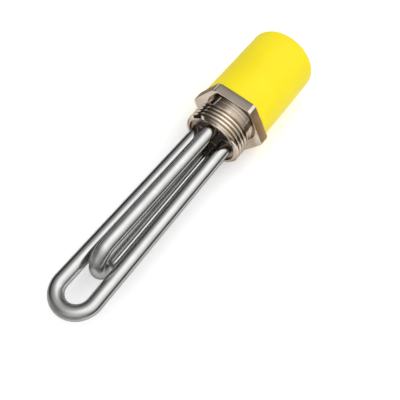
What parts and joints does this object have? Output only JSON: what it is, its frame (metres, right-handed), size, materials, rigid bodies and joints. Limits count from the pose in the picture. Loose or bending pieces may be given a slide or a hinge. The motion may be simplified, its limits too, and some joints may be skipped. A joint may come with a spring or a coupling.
{
  "type": "screw plug immersion heater",
  "caption": "Hexagon screw plug with a pipe thread carrying crossed U-shaped tubular heating elements, one nested in the other, with a push-on plastic cap over the terminals.",
  "frame": {"origin": "centre of the seat, the hexagon's face towards the tank, on the plug's axis", "axes": "+X along the plug's axis towards the cap, -X along the hairpins into the tank, +Z square to a flat of the hexagon"},
  "size_m": [0.1897, 0.044, 0.0394],
  "materials": {
    "plug": "turned, nickel plated",
    "sheath": "polished stainless steel",
    "magnesia": "compacted powder",
    "coil": "oxidised resistance wire",
    "pin": "bright steel",
    "seal": "silicone",
    "ceramic": "unglazed",
    "braze": "silver braze",
    "terminal_brass": "machined",
    "zinc_steel": "zinc plated",
    "cap": "satin moulded"
  },
  "bodies": {
    "heater": {"screw_plug": "plug", "long_sheath": "sheath", "short_sheath": "sheath", "long_magnesia": "magnesia", "short_magnesia": "magnesia", "long_coil": "coil", "short_coil": "coil", "terminal_pin_1": "pin", "terminal_pin_2": "pin", "terminal_pin_3": "pin", "terminal_pin_4": "pin", "end_seal_1": "seal", "end_seal_2": "seal", "end_seal_3": "seal", "end_seal_4": "seal", "insulator_1": "ceramic", "insulator_2": "ceramic", "insulator_3": "ceramic", "insulator_4": "ceramic", "braze_rings": "braze", "base_nuts": "terminal_brass", "link_bar_1": "terminal_brass", "link_bar_2": "terminal_brass", "plain_washers": "terminal_brass", "spring_washers": "zinc_steel", "top_nuts": "terminal_brass", "earth_screw": "zinc_steel", "earth_washer": "zinc_steel"},
    "push_cap": {"cap": "cap"}
  },
  "joints": [
    {"name": "cap_pull", "type": "slide", "parent": "heater", "child": "push_cap", "axis": [1, 0, 0], "range_m": [0, 0.06]}
  ]
}
